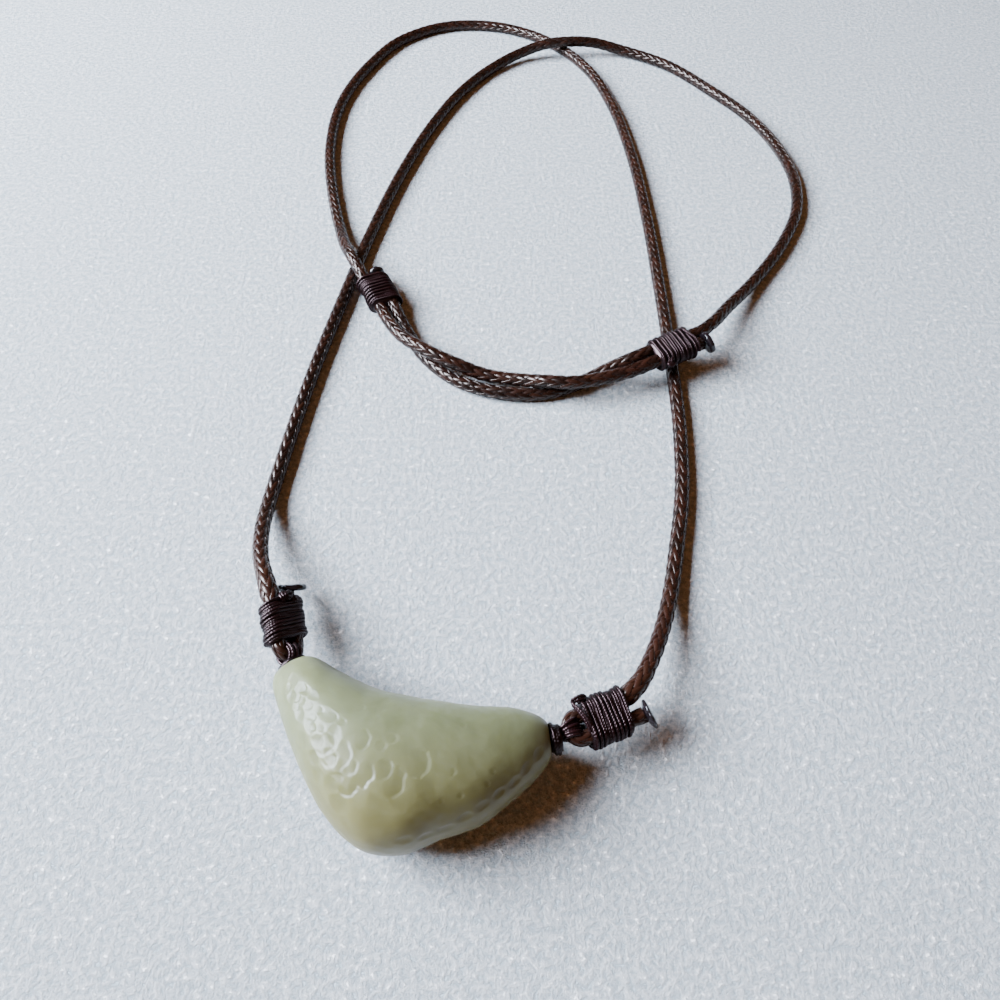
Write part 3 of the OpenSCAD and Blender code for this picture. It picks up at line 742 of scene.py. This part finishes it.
# where marks of one kind overlap the deepest wins, so they meet in a crisp ridge, and then the flats,
# the gouges and the lumps add up
def carveStone(bm):
    tree = kdtree.KDTree(len(bm.verts))
    for v in bm.verts:
        tree.insert(v.co, v.index)
    tree.balance()
    bm.verts.ensure_lookup_table()
    cut = {}
    marks = [(flatDepth, mark) for mark in stone["flats"]] + [(gougeDepth, mark) for mark in stone["gouges"]]
    for shape, (x, y, length, width, heading, depth) in marks:
        place, index, _ = tree.find(onFace(x, y))
        normal = bm.verts[index].normal
        ahead = Vector((math.cos(math.radians(heading)), math.sin(math.radians(heading)), 0))
        ahead = (ahead - normal * ahead.dot(normal)).normalized()
        across = normal.cross(ahead)
        for co, near, _ in tree.find_range(place, max(length, width) * stone["markReach"]):
            reach = co - place
            swell = 1 + stone["ragged"] * noise.noise(co * stone["raggedRate"] + Vector((0, 0, x)))
            deep = depth * shape(reach.dot(ahead) * 2 * swell / length, reach.dot(across) * 2 * swell / width)
            cut.setdefault(near, {})[shape] = max(cut.get(near, {}).get(shape, 0), deep)
    moves = []
    for v in bm.verts:
        upper = max(0, min(1, (v.co.z - stone["lumpsFrom"]) / stone["lumpsRun"]))
        lumps = sum(deep * (0.5 + 0.5 * noise.noise(v.co * rate)) for rate, deep in stone["lumps"])
        moves.append(v.normal * (upper * lumps + sum(cut.get(v.index, {}).values())))
    for v, move in zip(bm.verts, moves):
        v.co -= move


def stoneMesh():
    bm = bmesh.new()
    bmesh.ops.create_uvsphere(bm, u_segments=stone["around"], v_segments=stone["along"], radius=1)
    for v in bm.verts:
        x = stone["length"] / 2 * max(-1, min(1, v.co.z))
        a = math.atan2(v.co.y, v.co.x)
        v.co = stonePoint(x, a + stone["gather"] * math.cos(a))  # most of the mesh on the carved upper face
    bm.verts.index_update()
    bm.normal_update()
    carveStone(bm)
    bmesh.ops.transform(bm, matrix=Matrix.Scale(mm, 4), verts=bm.verts)
    mesh = bpy.data.meshes.new("jadePendant")
    bm.to_mesh(mesh)
    bm.free()
    return mesh


def drillTool(name, radius, a, b):  # one round cutter from a to b, or a ball at a
    bm = bmesh.new()
    if b is None:
        bmesh.ops.create_icosphere(bm, subdivisions=4, radius=radius, matrix=Matrix.Translation(a))
    else:
        along = (b - a).to_track_quat("Z", "Y").to_matrix().to_4x4()
        bmesh.ops.create_cone(bm, cap_ends=True, segments=drill["corners"], radius1=radius, radius2=radius,
                              depth=(b - a).length, matrix=Matrix.Translation((a + b) / 2) @ along)
    bmesh.ops.transform(bm, matrix=Matrix.Scale(mm, 4), verts=bm.verts)
    mesh = bpy.data.meshes.new(name)
    bm.to_mesh(mesh)
    bm.free()
    tool = bpy.data.objects.new(name, mesh)
    bpy.context.scene.collection.objects.link(tool)
    return tool


def drillStone(piece):  # both drillings, the round hollow where they meet, and a flat seat at each mouth
    turn = Vector(drill["turn"])
    tools = [drillTool("turnTool", (drill["bore"] + drill["turnRoom"]) / 2, turn, None)]
    for side in ("left", "right"):
        seat = Vector(drill[side])
        past = seat + (seat - turn).normalized() * drill["seat"]
        tools.append(drillTool(side + "Bore", drill["bore"] / 2, turn, past))
        tools.append(drillTool(side + "Seat", drill["seat"] / 2, seat, past))
    for tool in tools:
        cut = piece.modifiers.new(tool.name, "BOOLEAN")
        cut.operation = "DIFFERENCE"
        cut.solver = "MANIFOLD"
        cut.object = tool
    bpy.context.view_layer.update()
    drilled = bpy.data.meshes.new_from_object(piece.evaluated_get(bpy.context.evaluated_depsgraph_get()))
    piece.modifiers.clear()
    piece.data = drilled
    for tool in tools:
        bpy.data.objects.remove(tool)


# nephrite pebble, carved and tumbled: light passes a few millimetres in, so its shadow side glows, with
# painted darker olive shade on the side toward the viewer, faint cloudy patches and a satin polish that gives
# soft glints on the tool marks
def makeJadeMaterial():
    material, tree = newMaterial("tumbledNephrite")
    place = addNode(tree, "ShaderNodeTexCoord")
    axes = addNode(tree, "ShaderNodeSeparateXYZ", None, {"Vector": place.outputs["Object"]})
    cloud = addNoise(tree, 120.0, 5.0, place.outputs["Object"],
                     Roughness=0.6, Distortion=0.8)  # clouds about 8 mm across
    grain = addNoise(tree, 1400.0, 3.0, place.outputs["Object"])
    clear = addNode(tree, "ShaderNodeMapRange", {"From Min": 0.3, "From Max": 0.7},
                    {"Value": cloud.outputs["Fac"]})
    body = addTint(tree, "#5c6043", "#6e7357", clear.outputs["Result"])
    frontShade = addNode(tree, "ShaderNodeMapRange", {"From Min": 0.002, "From Max": -0.013, "To Max": 0.75},
                    {"Value": axes.outputs["Y"]})  # painted shade: darker, warmer olive toward the viewer's side, partly shade from warm bounce on the shadow side and partly the stone's own stained skin
    toneAndFrontShade = addNode(tree, "ShaderNodeMix", {"data_type": "RGBA", 7: toLinear("#6a6036")},
                    {0: frontShade.outputs["Result"], 6: body.outputs[2]})
    gloss = addNode(tree, "ShaderNodeMapRange", {"To Min": 0.3, "To Max": 0.42},
                    {"Value": grain.outputs["Fac"]})
    bump = addBump(tree, 0.12, 0.00006, grain.outputs["Fac"])
    shader = addNode(tree, "ShaderNodeBsdfPrincipled",
                     {"IOR": 1.61, "Subsurface Weight": 1.0, "Subsurface Radius": (1.0, 0.95, 0.6),
                      "Subsurface Scale": 0.007, "Specular IOR Level": 0.2},
                     {"Base Color": toneAndFrontShade.outputs[2], "Roughness": gloss.outputs["Result"],
                      "Normal": bump.outputs["Normal"]})
    addNode(tree, "ShaderNodeOutputMaterial", links={"Surface": shader.outputs["BSDF"]})
    return material


jade = addPiece("jadePendant", stoneMesh(), makeJadeMaterial(), "jade", "jade_pendant")
drillStone(jade)
print("stone done,", len(jade.data.polygons), "faces")


# pale pressed felt: short matted fibres, so the surface is a fine even fleck of light and shade
def makeFloorMaterial():
    material, tree = newMaterial("palePressedFelt")
    place = addNode(tree, "ShaderNodeTexCoord")
    fibres = addNoise(tree, 1000.0, 6.0, place.outputs["Object"], Roughness=0.75)  # tufts about 1 mm across
    fleck = addNode(tree, "ShaderNodeMapRange", {"From Min": 0.38, "From Max": 0.62},
                    {"Value": fibres.outputs["Fac"]})
    tuft = addTint(tree, "#b2bfc6", "#ffffff", fleck.outputs["Result"])
    bump = addBump(tree, 1.0, 0.0007, fleck.outputs["Result"])
    shader = addNode(tree, "ShaderNodeBsdfPrincipled", {"Roughness": 0.9, "Specular IOR Level": 0.2},
                     {"Base Color": tuft.outputs[2], "Normal": bump.outputs["Normal"]})
    addNode(tree, "ShaderNodeOutputMaterial", links={"Surface": shader.outputs["BSDF"]})
    return material


bm = bmesh.new()
bmesh.ops.create_grid(bm, x_segments=1, y_segments=1, size=1.5)
floorMesh = bpy.data.meshes.new("floor")
bm.to_mesh(floorMesh)
bm.free()
floorMesh.materials.append(makeFloorMaterial())
floor = bpy.data.objects.new("floor", floorMesh)
bpy.context.scene.collection.objects.link(floor)

# a cool window low on the left and a little behind, and a dim warm room: the room's glow lights the
# scene, and where the view goes past the floor it shows a plain grey wall
lights = {
    "window": {"place": (-520, 120, 385), "aim": (10, 60, 0), "size": (0.44, 0.38), "power": 41,
               "colour": "#e2eeff"},
    "room": {"colour": "#ffb276", "strength": 0.25, "wall": "#dde3e8", "wallStrength": 0.75},
}
lampData = bpy.data.lights.new("window", "AREA")
lampData.shape = "RECTANGLE"
lampData.size, lampData.size_y = lights["window"]["size"]
lampData.energy = lights["window"]["power"]
lampData.color = toLinear(lights["window"]["colour"])[:3]
lamp = bpy.data.objects.new("window", lampData)
lamp.location = Vector(lights["window"]["place"]) * mm
lampAim = Vector(lights["window"]["aim"]) * mm - lamp.location
lamp.rotation_euler = lampAim.to_track_quat("-Z", "Y").to_euler()
bpy.context.scene.collection.objects.link(lamp)
world = bpy.data.worlds.new("room")
world.use_nodes = True
world.node_tree.nodes.clear()
glow = addNode(world.node_tree, "ShaderNodeBackground",
               {"Color": toLinear(lights["room"]["colour"]), "Strength": lights["room"]["strength"]})
wall = addNode(world.node_tree, "ShaderNodeBackground",
               {"Color": toLinear(lights["room"]["wall"]), "Strength": lights["room"]["wallStrength"]})
rays = addNode(world.node_tree, "ShaderNodeLightPath")
seen = addNode(world.node_tree, "ShaderNodeMixShader", None,
               {0: rays.outputs["Is Camera Ray"], 1: glow.outputs["Background"],
                2: wall.outputs["Background"]})
addNode(world.node_tree, "ShaderNodeOutputWorld", links={"Surface": seen.outputs["Shader"]})
bpy.context.scene.world = world
print("floor and light done")
